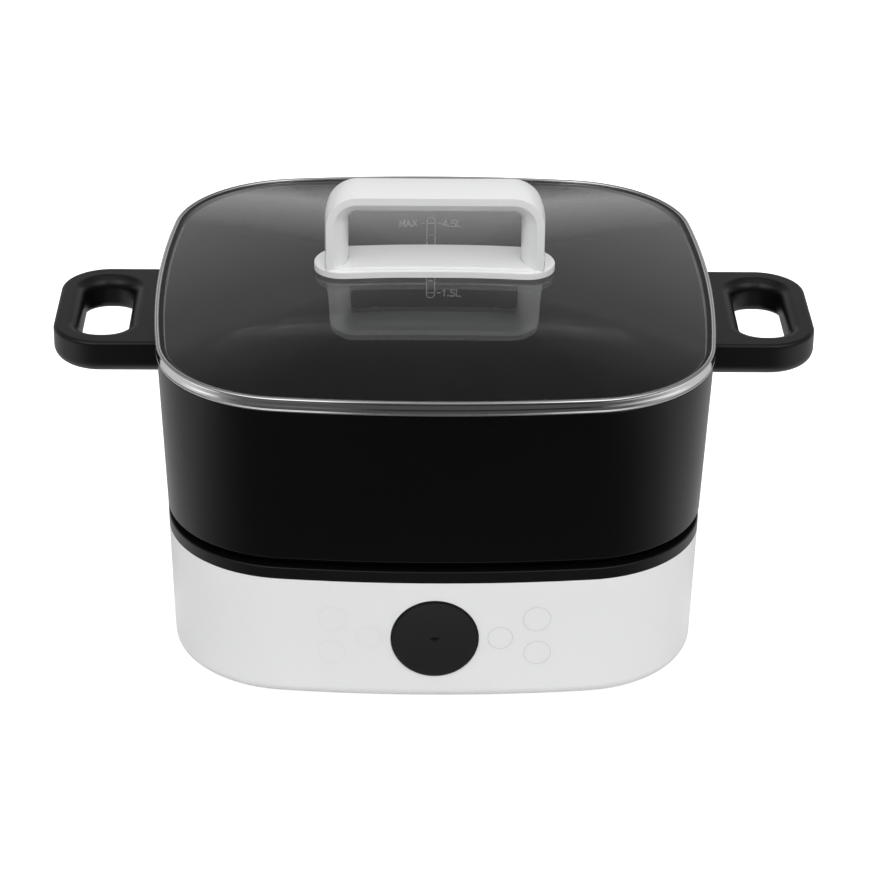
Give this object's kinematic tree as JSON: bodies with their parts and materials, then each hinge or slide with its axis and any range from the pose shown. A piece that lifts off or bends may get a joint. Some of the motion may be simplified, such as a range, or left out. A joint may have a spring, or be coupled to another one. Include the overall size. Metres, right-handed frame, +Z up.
{
  "type": "electric hot pot with lid",
  "caption": "Square electric hot pot: glass lid with steel band and bridge handle, lift-out cast pot with loop handles, heated base with a control dial and a rear inlet.",
  "frame": {"origin": "centre of the bounding box on the table plane, under the feet", "axes": "+Z up, front with the control dial faces -Y, +X to the right with the side handles along X"},
  "size_m": [0.39, 0.286, 0.222],
  "materials": {
    "glass": "clear tempered glass",
    "polished_steel": "polished stainless steel",
    "screw_steel": "zinc-plated steel",
    "sheet_steel": "plain sheet steel",
    "black_coating": "black satin non-stick coating on cast aluminium",
    "black_plastic": "black satin plastic",
    "white_plastic": "white semi-gloss plastic",
    "control_black": "black satin-gloss disc",
    "inner_plastic": "unpainted moulding",
    "clear_rubber": "translucent silicone",
    "black_rubber": "black rubber",
    "cast_aluminium": "machined cast aluminium",
    "circuit_board": "green circuit board",
    "relay_case": "blue component case",
    "copper_parts": "copper winding and tinned pins",
    "fuse_ceramic": "ceramic",
    "lead_insulation": "silicone insulation"
  },
  "bodies": {
    "base": {"base_shell": "white_plastic", "base_top_cover": "black_plastic", "base_bottom_cover": "black_plastic", "feet": "black_rubber", "bottom_cover_screws": "screw_steel", "top_cover_screws": "screw_steel", "reflector_screws": "screw_steel", "heating_plate": "cast_aluminium", "heating_tube": "screw_steel", "heat_reflector": "sheet_steel", "plate_posts": "screw_steel", "plate_nuts": "screw_steel", "sensor_holder": "sheet_steel", "sensor_spring": "screw_steel", "fuse_holder": "inner_plastic", "thermal_fuse": "fuse_ceramic", "power_board": "circuit_board", "power_board_screws": "screw_steel", "power_relay": "relay_case", "transformer": "copper_parts", "capacitor": "sheet_steel", "heat_sink": "cast_aluminium", "terminal_block": "inner_plastic", "encoder_body": "black_plastic", "control_board": "circuit_board", "control_board_screws": "screw_steel", "touch_springs": "screw_steel", "inlet_socket": "black_plastic", "inlet_pins": "copper_parts", "mains_leads": "lead_insulation", "heater_leads": "lead_insulation", "sensor_lead": "lead_insulation", "control_lead": "lead_insulation"},
    "lid": {"lid_rim": "polished_steel", "lid_seal": "clear_rubber", "lid_glass": "glass", "lid_handle_pad": "clear_rubber", "lid_handle_plate": "white_plastic", "lid_handle_bridge": "white_plastic", "lid_handle_washers": "clear_rubber", "lid_handle_screws": "screw_steel"},
    "pot": {"pot_body": "black_coating", "pot_handle_left": "black_plastic", "pot_handle_right": "black_plastic", "pot_handle_screws": "screw_steel"},
    "sensor": {"sensor_cap": "cast_aluminium"},
    "dial_plunger": {"encoder_plunger": "inner_plastic"},
    "dial": {"control_knob": "control_black", "encoder_shaft": "screw_steel"}
  },
  "joints": [
    {"name": "pot_lift", "type": "slide", "parent": "base", "child": "pot", "axis": [0, 0, 1], "range_m": [0, 0.15]},
    {"name": "lid_lift", "type": "slide", "parent": "pot", "child": "lid", "axis": [0, 0, 1], "range_m": [0, 0.12]},
    {"name": "sensor_press", "type": "slide", "parent": "base", "child": "sensor", "axis": [0, 0, 1], "range_m": [-0.0025, 0], "stiffness_N_per_m": 300, "springref_m": 0.003, "deforming": ["sensor_spring"]},
    {"name": "knob_press", "type": "slide", "parent": "base", "child": "dial_plunger", "axis": [0, 0.9997, 0.0252], "range_m": [0, 0.0012], "stiffness_N_per_m": 1500, "springref_m": -0.0005},
    {"name": "knob_turn", "type": "hinge", "parent": "dial_plunger", "child": "dial", "pos_m": [0, -0.1379, 0.0371], "axis": [0, 0.9997, 0.0252], "continuous": true}
  ]
}
